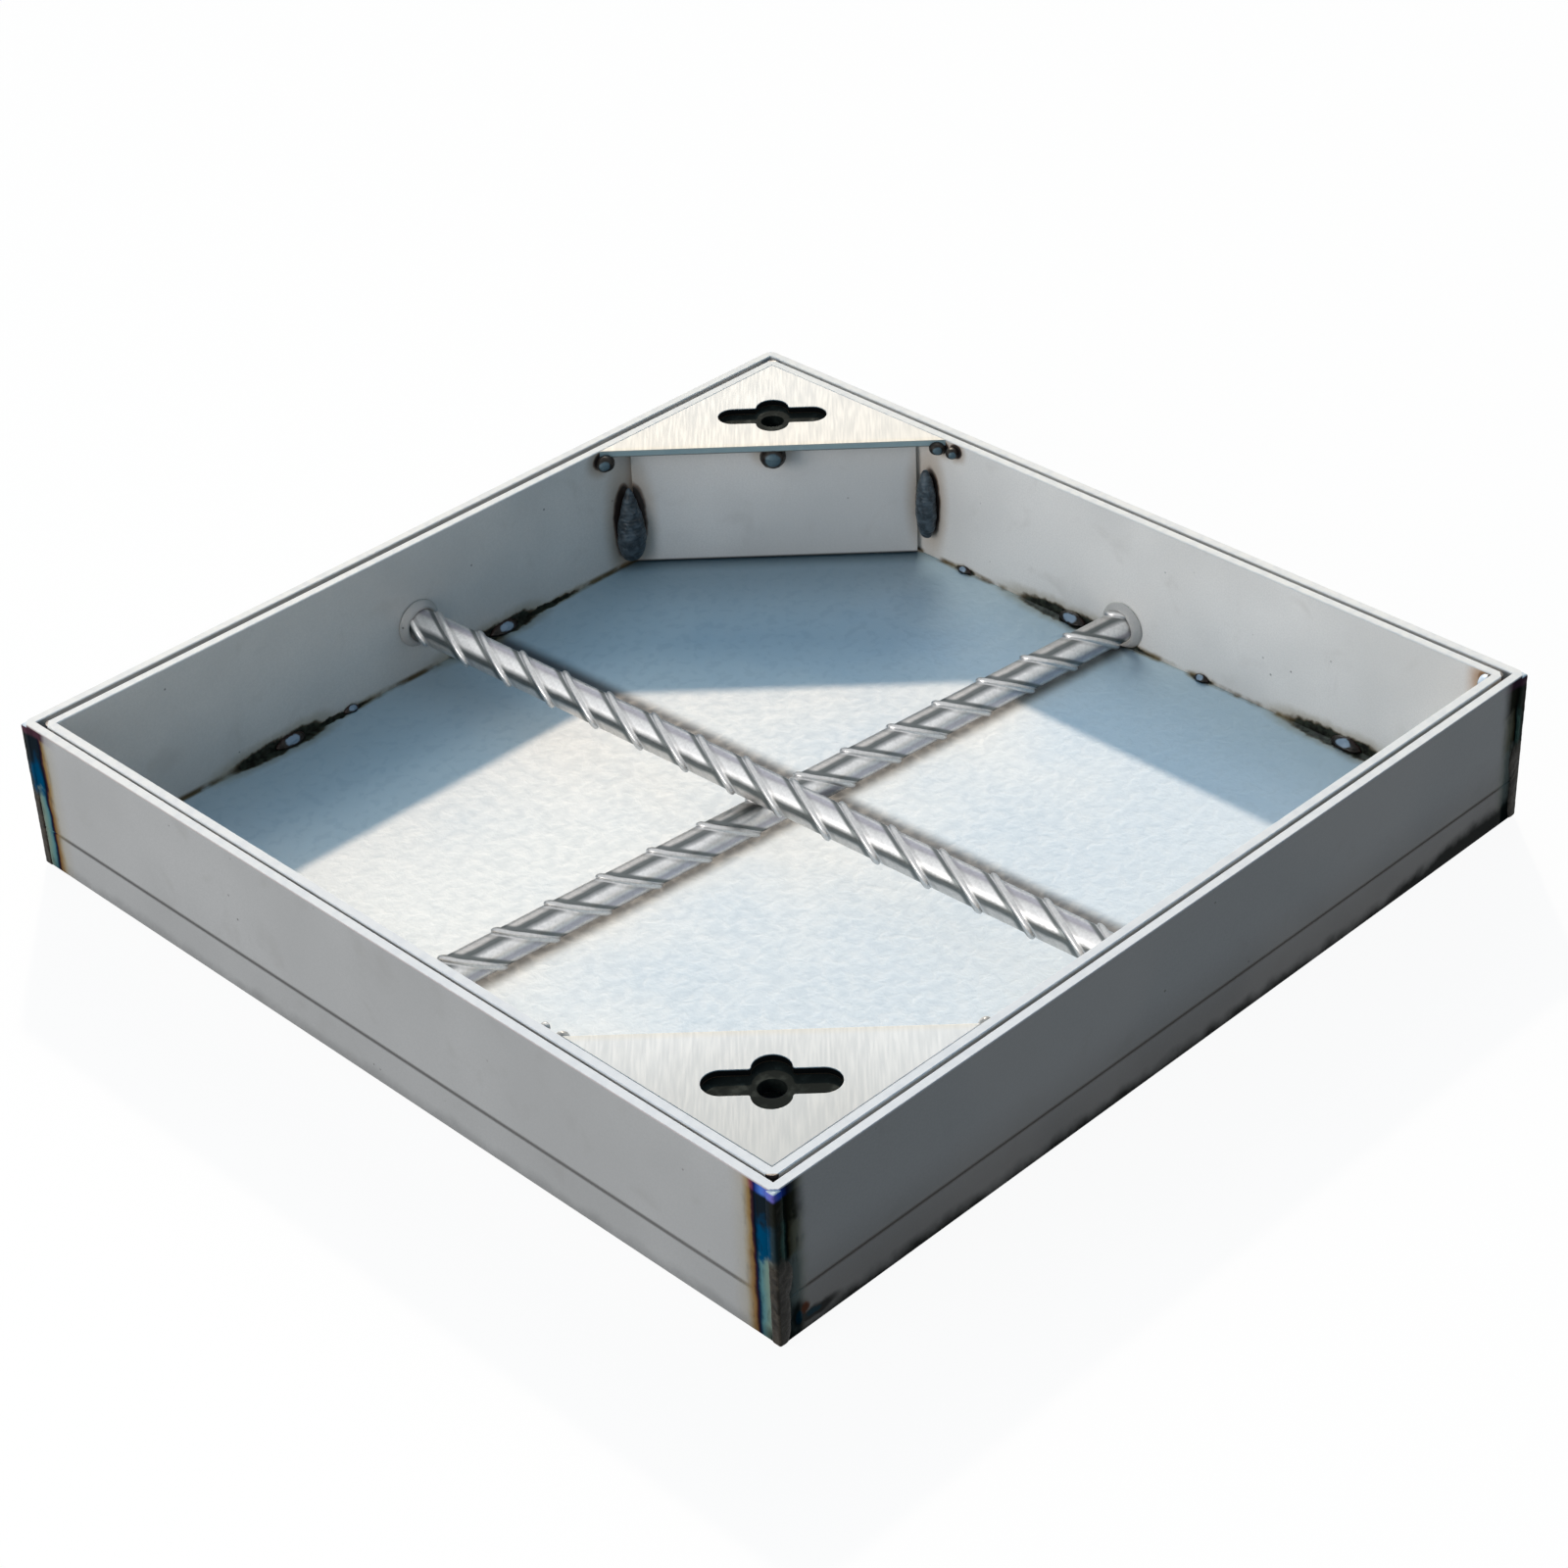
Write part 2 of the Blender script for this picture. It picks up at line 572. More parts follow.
# %% Heat colours at the frame's corners
def corner_band(finish, place):
    """The colours beside a corner weld, and how much of them shows. They run from one face,
    below 0, round the corner to the other one, and change from the top to the ground."""
    x, y, z = finish.split(place)
    half = cad_high[0] - 0.6 * mm
    from_x = finish.math("SUBTRACT", half, finish.math("ABSOLUTE", x))
    from_y = finish.math("SUBTRACT", half, finish.math("ABSOLUTE", y))
    along = finish.math("SUBTRACT", from_y, from_x)
    band = finish.step(along, -15 * mm, 15 * mm)
    band.node.interpolation_type = "LINEAR"
    middle = finish.ramp(band, (
        (0.06, tone(0.54, 0.52, 0.47)), (0.24, tone(0.48, 0.43, 0.35)), (0.30, tone(0.28, 0.24, 0.17)),
        (0.325, tone(0.09, 0.09, 0.08)), (0.345, tone(0.12, 0.16, 0.14)), (0.375, tone(0.30, 0.39, 0.35)),
        (0.43, tone(0.07, 0.12, 0.10)),
        (0.50, tone(0.13, 0.17, 0.18)), (0.56, tone(0.18, 0.24, 0.27)), (0.60, tone(0.0, 0.26, 0.38)),
        (0.74, tone(0.0, 0.28, 0.42)), (0.80, tone(0.06, 0.09, 0.14)), (0.84, tone(0.26, 0.17, 0.19)),
        (0.87, tone(0.55, 0.44, 0.28)), (0.97, tone(0.60, 0.55, 0.44)),
    ))
    low = finish.ramp(band, (
        (0.10, tone(0.56, 0.54, 0.49)), (0.27, tone(0.48, 0.46, 0.42)), (0.34, tone(0.30, 0.29, 0.26)),
        (0.47, tone(0.20, 0.20, 0.18)), (0.52, tone(0.30, 0.30, 0.27)), (0.56, tone(0.50, 0.50, 0.46)),
        (0.66, tone(0.45, 0.54, 0.50)), (0.74, tone(0.34, 0.50, 0.52)), (0.79, tone(0.04, 0.16, 0.26)),
        (0.82, tone(0.22, 0.12, 0.14)), (0.86, tone(0.52, 0.40, 0.26)), (0.97, tone(0.60, 0.55, 0.44)),
    ))
    high = finish.ramp(band, (
        (0.10, tone(0.40, 0.38, 0.30)), (0.30, tone(0.12, 0.13, 0.22)), (0.42, tone(0.22, 0.34, 0.74)),
        (0.52, tone(0.46, 0.42, 0.74)), (0.68, tone(0.30, 0.46, 0.80)), (0.78, tone(0.10, 0.13, 0.36)),
        (0.84, tone(0.50, 0.26, 0.30)), (0.90, tone(0.62, 0.54, 0.42)),
    ))
    ragged = finish.math("MULTIPLY_ADD", finish.noise(4, detail=4), 16 * mm, z)
    sooty = finish.times(finish.step(ragged, 53 * mm, 62 * mm), finish.step(band, 0.82, 0.76, 0, 0.88))
    middle = finish.over(sooty, middle, tone(0.13, 0.125, 0.10))
    colour = finish.mark(middle, low, ragged, 46 * mm, 40 * mm)
    near_corner = finish.step(finish.math("ADD", x, y), -0.33, -0.36)
    high = finish.over(near_corner, tone(0.30, 0.20, 0.24), high)
    colour = finish.mark(colour, high, z, 60.2 * mm, 62 * mm)
    streaks = finish.noise(2.5, detail=4, place=finish.stretched(0, (1, 1, 2.9)))
    colour = finish.mark(colour, tone(0.12, 0.14, 0.15), streaks, 0.5, 0.75, 0.45)
    fading = finish.math("MINIMUM", finish.step(band, 0, 0.22), finish.step(band, 1.1, 0.88))
    near_edge = finish.step(finish.math("MAXIMUM", from_x, from_y), 22 * mm, 11 * mm)
    outside = finish.step(finish.math("MINIMUM", from_x, from_y), 2.4 * mm, 1.6 * mm)
    return colour, finish.times(finish.times(fading, near_edge), outside)


def corner_colours(finish, colour):
    """Lays the corner's heat colours over the sheet."""
    heat, share = corner_band(finish, wavering(finish, 9, 1.0))
    finish.dull(share)
    return finish.over(share, colour, heat)


def shaded_front(finish, colour):
    """Grime that dulls the front face, and more so near the ground."""
    y, z = finish.split(finish.place)[1:]
    dirt = finish.step(z, 40 * mm, 4 * mm, 0.40, 0.72)
    facing = finish.step(y, -198 * mm, -199.5 * mm)
    return finish.over(finish.times(dirt, facing), colour, tone(0.20, 0.155, 0.11))


def heat_marks(finish, colour):
    """A dark hooked burn beside the near corner, teal and rust at its heart."""
    place = wavering(finish, 5, 1.2)
    for lumps, rim, mark in (
        ((((9.6, 0, 8.5), (3.6, 3, 5.2)), ((17, 0, 5.5), (9.0, 3, 2.2))), 1.6, tone(0.02, 0.05, 0.05)),
        ((((9.4, 0, 7.4), (1.8, 3, 3.0)), ((16, 0, 6), (3.5, 3, 1.3))), 1.2, tone(0.0, 0.20, 0.24)),
        ((((12.4, 0, 10.0), (1.9, 3, 2.5)),), 1.3, tone(0.36, 0.17, 0.06)),
    ):
        away = nearest(finish, place, [(cad_low + Vector(centre) * mm, Vector(half) * mm)
                                       for centre, half in lumps])
        share = finish.step(away, rim, 0.7, 0, 0.9)
        finish.dull(share)
        colour = finish.over(share, colour, mark)
    return colour


def frame_strip_finish():
    """Rolled sheet with bright tops, a dark seam and coloured corners."""
    finish = Finish("frame sheet", 0.12, 0.5)
    colour, roughness = rolled_sheet(finish, 0.66)
    height = finish.split(finish.place)[2]
    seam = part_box("frame_wall_front")[0][2]
    near_seam = finish.step(height, seam + 1.6 * mm, seam + 0.3 * mm, 0, 0.8)
    colour = shaded_front(finish, finish.over(near_seam, colour, grey(0.22, 0.03)))
    colour = corner_colours(finish, colour)
    return finish.done(bright_top(finish, colour), roughness)


def seat_angle_finish():
    """The same sheet with grime in the seam and soot along the ground edge, which climbs highest
    at the right end of the front face."""
    finish = Finish("seat angle sheet", 0.12, 0.5)
    colour, roughness = rolled_sheet(finish, 0.64)
    x, y, z = finish.split(finish.place)
    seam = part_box("frame_wall_front")[0][2]
    near_seam = finish.step(z, seam - 1.3 * mm, seam - 0.3 * mm, 0, 0.8)
    colour = finish.over(near_seam, colour, grey(0.22, 0.03))
    edge = finish.math("ADD", z, finish.math("MULTIPLY_ADD", finish.noise(9, detail=5), -8 * mm, 4 * mm))
    edge = finish.math("SUBTRACT", edge, finish.step(x, 0.10, 0.195, 0, 6.5 * mm))
    front = finish.step(y, -190 * mm, -199 * mm, 0.3, 1)
    soot = finish.times(finish.step(edge, 7.5 * mm, 0.5 * mm, 0, 0.95), front)
    colour = heat_marks(finish, corner_colours(finish, shaded_front(finish, colour)))
    finish.dull(soot)
    return finish.done(finish.over(soot, colour, tone(0.085, 0.10, 0.09)), roughness)


strip_steel = frame_strip_finish()
angle_steel = seat_angle_finish()
for side in SIDES:
    paint("frame_wall_" + side, strip_steel)
    paint("seat_angle_" + side, angle_steel)


# %% Tray walls and pocket walls
def tray_wall_finish(name, level):
    """Rolled sheet, scorched along the floor and ringed with heat round every weld."""
    finish = Finish(name, 0.12, 0.5)
    colour, roughness = rolled_sheet(finish, level, 0.02)
    colour = scorch(finish, colour)
    colour = heat_ring(finish, colour, pocket_welds + edge_tacks + inside_tack)
    scorched = nearest(finish, wavering(finish, 6, 0.8), inside_tack, 1.0)
    colour = finish.mark(colour, tone(0.70, 0.53, 0.38), scorched, 3.0, 1.2, 0.6)
    return finish.done(bright_top(finish, colour), roughness)


def pocket_wall_finish():
    """Rolled sheet with heat rings and a grimy lower edge."""
    finish = Finish("pocket sheet", 0.12, 0.5)
    colour, roughness = rolled_sheet(finish, 0.83, 0.01)
    colour = heat_ring(finish, colour, pocket_welds + edge_tacks)
    height = finish.split(finish.place)[2]
    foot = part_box("pocket_wall_back_right")[0][2]
    colour = finish.mark(colour, grey(0.1), height, foot + 1.0 * mm, foot, 0.9)
    return finish.done(colour, roughness)


tray_steel = {
    "right": tray_wall_finish("tray sheet pale", 0.88),
    "back": tray_wall_finish("tray sheet", 0.81),
}
tray_steel["left"] = tray_steel["front"] = tray_wall_finish("tray sheet deep", 0.74)
pocket_steel = pocket_wall_finish()
for side in SIDES:
    paint("tray_wall_" + side, tray_steel[side])
for corner in POCKETS:
    paint("pocket_wall_" + corner, pocket_steel)

# %% [markdown]
# ## The tray's floor
# The floor is a thin galvanised sheet. Its zinc skin is pale, faintly blue and finely
# wrinkled, like leather. Relief that is so shallow needs no geometry: a bump in the
# shader catches the low sun just as well and keeps the mesh light.

# %% Galvanised floor
def bar_shadow(finish, start, end, fade):
    """A soft dark line on the floor between two points, about twice as wide as its fade."""
    run = Vector((*end, 0)) - Vector((*start, 0))
    across = Vector((run.y, -run.x, 0)).normalized()
    offset = finish.vector("SUBTRACT", finish.place, Vector((*start, 0)) * mm)
    away = finish.math("ABSOLUTE", finish.vector("DOT_PRODUCT", offset, across))
    return finish.step(away, fade * mm, 0.2 * fade * mm, 0, 0.93)


def zinc_finish():
    """Pale zinc with wrinkles, faint crystals, grime by the walls and the tacks' scorch marks."""
    finish = Finish("zinc skin", 0.0, 0.5, 0.15)
    x, y = finish.split(finish.place)[:2]
    slope = finish.math("MULTIPLY_ADD", x, -0.25, y)
    clouds = finish.math("MULTIPLY_ADD", slope, 2.4, finish.noise(70, detail=3))
    colour = finish.mark(tone(0.84, 0.88, 0.92), tone(0.94, 0.94, 0.94), clouds, 0.2, 0.8)
    crystals = finish.cells(11, output="Color")
    shade = finish.times(finish.split(crystals)[0], 0.05)
    colour = finish.over(shade, colour, tone(0.72, 0.76, 0.80))
    wrinkles = finish.noise(5, detail=3, distortion=0.35)
    creases = finish.step(wrinkles, 0.36, 0.5, 0.14, 0)
    colour = finish.over(creases, colour, tone(0.66, 0.70, 0.74))
    to_sides, to_pockets = from_walls(finish)
    to_walls = finish.math("MINIMUM", to_sides, to_pockets)
    colour = finish.mark(colour, tone(0.54, 0.63, 0.67), to_walls, 62 * mm, 5 * mm, 0.5)
    colour = finish.mark(colour, tone(0.50, 0.60, 0.64), to_pockets, 45 * mm, 0, 0.3)
    colour = finish.mark(colour, tone(0.22, 0.30, 0.33), to_pockets, 12 * mm, 0, 0.75)
    for start, end in (((34.6, -148.6), (19.4, 151.0)), ((-150.0, 14.4), (149.1, -8.6))):
        colour = finish.over(bar_shadow(finish, start, end, 9.8), colour, tone(0.26, 0.265, 0.28))
    colour = scorch(finish, colour)
    finish.bump(wrinkles, 0.33)
    finish.bump(finish.noise(1.3, detail=3), 0.02)
    return finish.done(colour, finish.step(wrinkles, 0.3, 0.7, 0.5, 0.66))


paint("tray_floor", zinc_finish())

# %% [markdown]
# ## Lifting plates
# Each corner plate is a sheet cut by laser and then wiped with an abrasive belt, so it is
# brighter than the walls and its scratches run one way. The laser leaves sharp corners that a
# quick pass of a file breaks. A narrow bevel on the CAD outline gives that thin bright line.

# %% Model the lifting plates
def apply_modifier(piece, kind, **settings):
    """Adds a modifier with its settings and makes its result real."""
    modifier = piece.modifiers.new(kind.lower(), kind)
    for name, value in settings.items():
        setattr(modifier, name, value)
    bpy.context.view_layer.objects.active = piece
    bpy.ops.object.modifier_apply(modifier=modifier.name)


def finish_piece(piece, material, slot, *node_names):
    """Gives a new piece its material, and lets it stand for its CAD nodes."""
    piece.data.materials.append(material)
    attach(piece, "root")
    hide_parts(*node_names)
    print("piece:", piece.name, "faces:", len(piece.data.polygons))


def brushed_plate_finish(name, corner, dull, bright):
    """Pale steel, brushed towards the corner, with a cooler cut edge over a thin brown line."""
    finish = Finish(name, 0.02, 0.5, 0.1)
    across_edge = finish.stretched(math.radians(-45), (1, 18, 1))
    brush = finish.noise(0.8, detail=3, place=across_edge)
    x, y, z = finish.split(finish.place)
    spread = finish.math("ABSOLUTE", finish.math("ADD", x, y))
    low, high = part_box("lifting_plate_" + corner)
    edge = low.x + high.y if corner == "back_right" else -high.x - low.y
    clouds = finish.math("MULTIPLY_ADD", finish.noise(45, detail=3), 60 * mm, spread)
    colour = finish.mark(bright, dull, clouds, edge + 20 * mm, edge + 110 * mm)
    colour = finish.mark(colour, grey(0.76, 0.01), brush, 0.3, 0.7, 0.14)
    straw = finish.step(spread, edge + 6 * mm, edge + 0.5 * mm, 0, 0.25)
    colour = finish.over(straw, colour, tone(0.88, 0.80, 0.66))
    below_top = finish.step(z, cad_high[2] - 0.15 * mm, cad_high[2] - 0.5 * mm)
    in_front = finish.step(spread, edge + 1 * mm, edge)
    colour = finish.over(finish.times(below_top, in_front), colour, tone(0.78, 0.83, 0.82))
    behind = finish.step(spread, edge + 4 * mm, edge + 5 * mm)
    colour = finish.over(finish.times(below_top, behind), colour, grey(0.12))
    underside = finish.step(z, 62.7 * mm, 62.2 * mm, 0, 0.8)
    colour = finish.over(underside, colour, tone(0.40, 0.31, 0.24))
    finish.bump(brush, 0.004)
    return finish.done(colour, finish.step(brush, 0.3, 0.7, 0.5, 0.6))


plates = []
for corner, dull, bright in (("back_right", tone(0.90, 0.885, 0.87), tone(0.92, 0.89, 0.855)),
                             ("front_left", grey(0.80, 0.005), tone(0.90, 0.90, 0.905))):
    plate = merged_copy("lifting_plate_" + corner, "plate_" + corner)
    on_whole_mesh(bpy.ops.mesh.dissolve_limited, angle_limit=math.radians(1))
    apply_modifier(plate, "BEVEL", width=0.25 * mm, segments=2, limit_method="ANGLE")
    bpy.ops.object.shade_smooth_by_angle(angle=math.radians(30))
    apply_modifier(plate, "WEIGHTED_NORMAL", keep_sharp=True)
    steel = brushed_plate_finish("brushed plate " + corner, corner, dull, bright)
    finish_piece(plate, steel, "lifting_plate", "lifting_plate_" + corner)
    plates.append(plate)


# %% Key strips under the plates
def dark_strip_finish():
    """Black mill scale with a little wear."""
    finish = Finish("dark strip", 0.0, 0.8, 0.06)
    wear = finish.step(finish.noise(4, detail=5), 0.45, 0.75)
    finish.bump(wear, 0.05)
    colour = finish.over(wear, tone(0.11, 0.125, 0.12), tone(0.17, 0.19, 0.18))
    return finish.done(colour, finish.step(wear, 0, 1, 0.85, 0.7))


dark_steel = dark_strip_finish()
for corner in POCKETS:
    paint("key_strip_" + corner, dark_steel)

# %% [markdown]
# ## Ribbed bars
# The two bars are reinforcing steel, drawn bright. Slanted ribs are rolled into them so that
# mortar grips. Each bar starts as a round rod. One ring makes one rib: stretched sideways and
# slanted, it still hugs the rod. An array repeats it at the rolling pitch.

# %% Model the ribbed bars
RIB_PITCH = 24.3 * mm
ROD_RADIUS = 6.8 * mm
RIB_RING_RADIUS = 6.0 * mm
RIB_THICKNESS = 1.5 * mm


def ribbed_bar(name, length, turn, skew, middle, slant, first_rib, ends):
    """A rod with slanted ribs along it, cut where it meets the tray's walls."""
    bpy.ops.object.select_all(action="DESELECT")
    quarter = math.pi / 2
    bpy.ops.mesh.primitive_torus_add(major_radius=RIB_RING_RADIUS, minor_radius=RIB_THICKNESS,
                                     major_segments=96, minor_segments=20, rotation=(quarter, 0, 0))
    ribs = bpy.context.object
    bpy.ops.object.transform_apply(location=False, rotation=True, scale=False)
    ribs.scale.x = 1 / math.cos(slant)
    ribs.rotation_euler.z = slant
    count = int(length / RIB_PITCH) + 2
    ribs.location.y = first_rib - (count // 2) * RIB_PITCH
    bpy.ops.object.transform_apply()
    apply_modifier(ribs, "ARRAY", count=count, use_relative_offset=False, use_constant_offset=True,
                   constant_offset_displace=(0, RIB_PITCH, 0))
    bpy.ops.mesh.primitive_cylinder_add(vertices=96, radius=ROD_RADIUS, depth=length + 20 * mm,
                                        rotation=(quarter, 0, 0))
    bar = bpy.context.object
    bar.name = name
    ribs.select_set(True)
    bpy.ops.object.join()
    bpy.ops.object.transform_apply(location=False, rotation=True, scale=False)
    bar.rotation_euler = (0, turn, skew)
    bar.location = middle
    bpy.ops.object.transform_apply()
    for place, outward in ends:
        on_whole_mesh(bpy.ops.mesh.bisect, plane_co=place, plane_no=outward, use_fill=True, clear_outer=True)
    bpy.ops.object.shade_smooth_by_angle(angle=math.radians(40))
    return bar


def bar_finish(name, middle, turn, skew, slant, first_rib, pale_angle):
    """Bright rolled steel. Light and dark bands lie along the bar, as its shine shows them, and
    each rib is a bright line with a dark one beside it."""
    finish = Finish(name, 0.85, 0.32, 0.5)
    side = Vector((math.cos(skew), math.sin(skew), 0))
    pale = side * math.cos(pale_angle) + Vector((0, 0, 1)) * math.sin(pale_angle)
    offset = finish.vector("SUBTRACT", finish.place, middle)
    round_it = finish.math("MULTIPLY_ADD", finish.vector("DOT_PRODUCT", offset, pale), -0.5 / (7.0 * mm), 0.5)
    shaky = finish.math("MULTIPLY_ADD", finish.noise(9, detail=3), 0.08, -0.04)
    band = finish.math("ADD", round_it, shaky)
    colour = finish.ramp(band, (
        (0.00, grey(0.84, 0.02)), (0.15, grey(0.82, 0.02)), (0.22, tone(0.42, 0.44, 0.44)),
        (0.31, tone(0.39, 0.41, 0.41)), (0.38, grey(0.66, -0.01)), (0.46, grey(0.93)),
        (0.62, grey(0.94)), (0.72, grey(0.86)), (0.79, tone(0.70, 0.69, 0.72)),
        (0.88, tone(0.72, 0.72, 0.76)), (0.94, grey(0.90)), (1.0, grey(0.78)),
    ))
    across = Vector((-math.sin(slant), math.cos(slant), 0))
    across = Matrix.Rotation(skew, 3, "Z") @ Matrix.Rotation(turn, 3, "Y") @ across
    pitch = RIB_PITCH * math.cos(slant)
    first = first_rib * math.cos(slant)
    shifted = finish.vector("DOT_PRODUCT", offset, across)
    turns = finish.math("MULTIPLY_ADD", shifted, 1 / pitch, 0.5 - first / pitch)
    phase = finish.math("MULTIPLY_ADD", finish.math("FRACT", turns), pitch / mm, -0.5 * pitch / mm)
    colour = finish.over(finish.step(phase, -6, -1, 0.12, 0), colour, grey(0.55))
    beside = finish.times(finish.step(phase, 1.0, 1.5), finish.step(phase, 3.3, 2.2))
    colour = finish.over(beside, colour, tone(0.42, 0.44, 0.44))
    under = finish.times(finish.step(phase, -1.2, -1.6), finish.step(phase, -3.0, -2.0, 0, 0.35))
    colour = finish.over(under, colour, grey(0.5))
    crest = finish.times(finish.step(phase, -1.6, -1.1), finish.step(phase, 1.4, 0.9))
    colour = finish.over(crest, colour, grey(0.82))
    scratches = finish.noise(1.2, detail=4)
    colour = finish.mark(colour, grey(0.5, -0.02), scratches, 0.35, 0.7, 0.16)
    finish.bump(scratches, 0.02)
    return finish.done(colour, finish.step(scratches, 0.3, 0.7, 0.3, 0.42))


bars = []
for level, skew, turn, slant, first_rib, pale_angle in (
    ("upper", 2.9, -26.6, 63.1, -0.4, 227.0),
    ("lower", -94.4, 70.0, 59.4, 3.0, 131.4),
):
    low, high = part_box("bar_" + level)
    middle = (low + high) / 2
    lengthwise = 1 if level == "upper" else 0
    outward = Vector((0, 1, 0)) if level == "upper" else Vector((1, 0, 0))
    ends = ((Vector(high) - outward * 0.3 * mm, outward), (Vector(low) + outward * 0.3 * mm, -outward))
    bar = ribbed_bar("bar_" + level + "_ribbed", (high - low)[lengthwise], math.radians(turn),
                     math.radians(skew), middle, math.radians(slant), first_rib * mm, ends)
    steel = bar_finish("bright bar " + level, middle, math.radians(turn), math.radians(skew),
                       math.radians(slant), first_rib * mm, math.radians(pale_angle))
    finish_piece(bar, steel, "ribbed_bar", "bar_" + level)
    bars.append(bar)

# %% [markdown]
# ## Which lamp lights what
# A photographer shades single lamps with black card, and light linking does the same. The low
# sun would put a glare on the bars. The fill would wash out the blue shade on the floor. No
# lamp casts the bars' shadows, because the soft line beside each bar is laid into the zinc, and
# the haze passes the right side, whose shade is the paler one.

# %% Link the lamps
def spared(name, pieces):
    """A set of pieces that a lamp leaves out."""
    group = bpy.data.collections.new(name)
    for piece in pieces:
        group.objects.link(piece)
    for link in group.collection_objects:
        link.light_linking.link_state = "EXCLUDE"
    return group


bar_group = spared("bars", bars)
flat_group = spared("flat sheets", plates + [nodes["tray_floor"]])
right_group = spared("bars and right side", bars + [nodes[name + "_right"] for name in
                                                    ("tray_wall", "frame_wall", "seat_angle")])
for lamp, see_through, unlit in ((sun, bar_group, bar_group), (haze, right_group, bar_group),
                                 (left_fill, bar_group, flat_group)):
    lamp.light_linking.blocker_collection = see_through
    lamp.light_linking.receiver_collection = unlit
    print("linked", lamp.name)

# %% [markdown]
# ## Weld metal
# Every joint is welded by hand. Weld metal freezes in soft uneven lumps, and no two are alike.
# A CAD lump is too even, so it becomes a skin of small equal squares, is pushed in and out by
# cloud noise and is smoothed a little. That is how a sculptor would rough up a clay bead.

# %% Model the weld lumps
clouds = bpy.data.textures.new("weld_clouds", "CLOUDS")
clouds.noise_scale = 3 * mm


def roughen(piece, grid, depth, smoothing):
    """Makes a lump's skin uneven by up to so many millimetres."""
    apply_modifier(piece, "REMESH", mode="VOXEL", voxel_size=grid * mm)
    apply_modifier(piece, "DISPLACE", texture=clouds, texture_coords="GLOBAL",
                   strength=depth * mm, mid_level=0.5)
    apply_modifier(piece, "SMOOTH", factor=0.5, iterations=smoothing)
    bpy.ops.object.shade_smooth()


def weld_finish(name, body, heart, away, rim=tone(0.17, 0.12, 0.11)):
    """Dull weld metal, dark and brown where it meets a wall, with a bright heart of its own."""
    finish = Finish(name, 0.1, 0.5, 0.25)
    scale = finish.noise(3.4, detail=4, distortion=0.6)
    dark, pale = (tuple(v * share for v in body[:3]) + (1,) for share in (0.6, 1.5))
    colour = finish.mark(dark, pale, scale, 0.32, 0.68)
    to_walls = finish.math("MINIMUM", *from_walls(finish))
    colour = finish.mark(colour, rim, to_walls, 1.7 * mm, 0.5 * mm, 0.85)
    if away:
        colour = finish.mark(colour, heart, away(finish), 1.1, 0.75, 0.95)
    ripples = finish.node("TexWave", {"Scale": 0.31 / (1.6 * mm), "Distortion": 2.5, "Detail Scale": 1.5,
                                      "Vector": finish.place}, bands_direction="Z")
    finish.bump(ripples.outputs["Fac"], 0.08)
    finish.bump(scale, 0.15)
    return finish.done(colour, finish.step(scale, 0.3, 0.7, 0.34, 0.5))


def hearts_of(lumps, outward, size):
    """A measure that is below 1 on the part of each lump that faces a direction."""
    spots = [(centre + Vector([a * b for a, b in zip(outward, half)]), half * size) for centre, half in lumps]
    return lambda finish: nearest(finish, wavering(finish, 3, 0.5), spots)


def round_lumps(name, lumps, taper=0.0):
    """Round lumps of given middles and half sizes, each narrower at its top by a taper."""
    made = []
    for centre, half in lumps:
        bpy.ops.object.select_all(action="DESELECT")
        bpy.ops.mesh.primitive_uv_sphere_add(segments=32, ring_count=24, radius=1, location=centre)
        lump = bpy.context.object
        lump.scale = half
        bpy.ops.object.transform_apply(location=False, rotation=False, scale=True)
        if taper:
            apply_modifier(lump, "SIMPLE_DEFORM", deform_method="TAPER", deform_axis="Z", factor=-taper)
        made.append(lump)
    for lump in made:
        lump.select_set(True)
    if len(made) > 1:
        bpy.ops.object.join()
    bpy.ops.object.transform_apply()
    bpy.context.object.name = name
    return bpy.context.object


pocket_weld_metal = weld_finish("pocket weld metal", tone(0.25, 0.285, 0.31), None, None)
tack_metal = weld_finish("tack metal", grey(0.13, 0.1), tone(0.31, 0.385, 0.42),
                         hearts_of(edge_tacks, (-0.7, -0.7, 0.1), 0.66))
pale_tack_metal = weld_finish("ground tack metal", grey(0.72, 0.01), None, None, grey(0.6))
inside_metal = weld_finish("inside tack metal", grey(0.14, 0.1), tone(0.85, 0.90, 0.96),
                           hearts_of(inside_tack, (0, 0, 0.9), 0.9))
floor_tack_metal = weld_finish("floor tack metal", grey(0.10, 0.05), tone(0.50, 0.57, 0.64),
                               lambda finish: floor_rows(finish, wavering(finish, 3, 1.0), tack_heart))
collar_metal = tray_wall_finish("collar metal", 0.68)
for corner in POCKETS:
    for kind, lump in POCKET_LUMPS.items():
        node_name = f"pocket_{kind}_weld_{corner}"
        piece = round_lumps("rough_" + node_name, at_corner(corner, [lump]), 1.1 if kind == "drop" else 0.3)
        roughen(piece, 0.45, 1.0, 5)
        finish_piece(piece, pocket_weld_metal, "weld_metal", node_name)
    node_name = "plate_edge_tacks_" + corner
    lumps = at_corner(corner, EDGE_LUMPS)
    if corner == "front_left":
        lumps = [(centre, half * 0.7) for centre, half in lumps]
    piece = round_lumps("rough_" + node_name, lumps)
    roughen(piece, 0.4, 0.6, 3)
    finish_piece(piece, tack_metal if corner == "back_right" else pale_tack_metal, "weld_metal", node_name)
piece = merged_copy("tray_inside_tack", "rough_inside_tack")
roughen(piece, 0.4, 0.6, 5)
finish_piece(piece, inside_metal, "weld_metal", "tray_inside_tack")
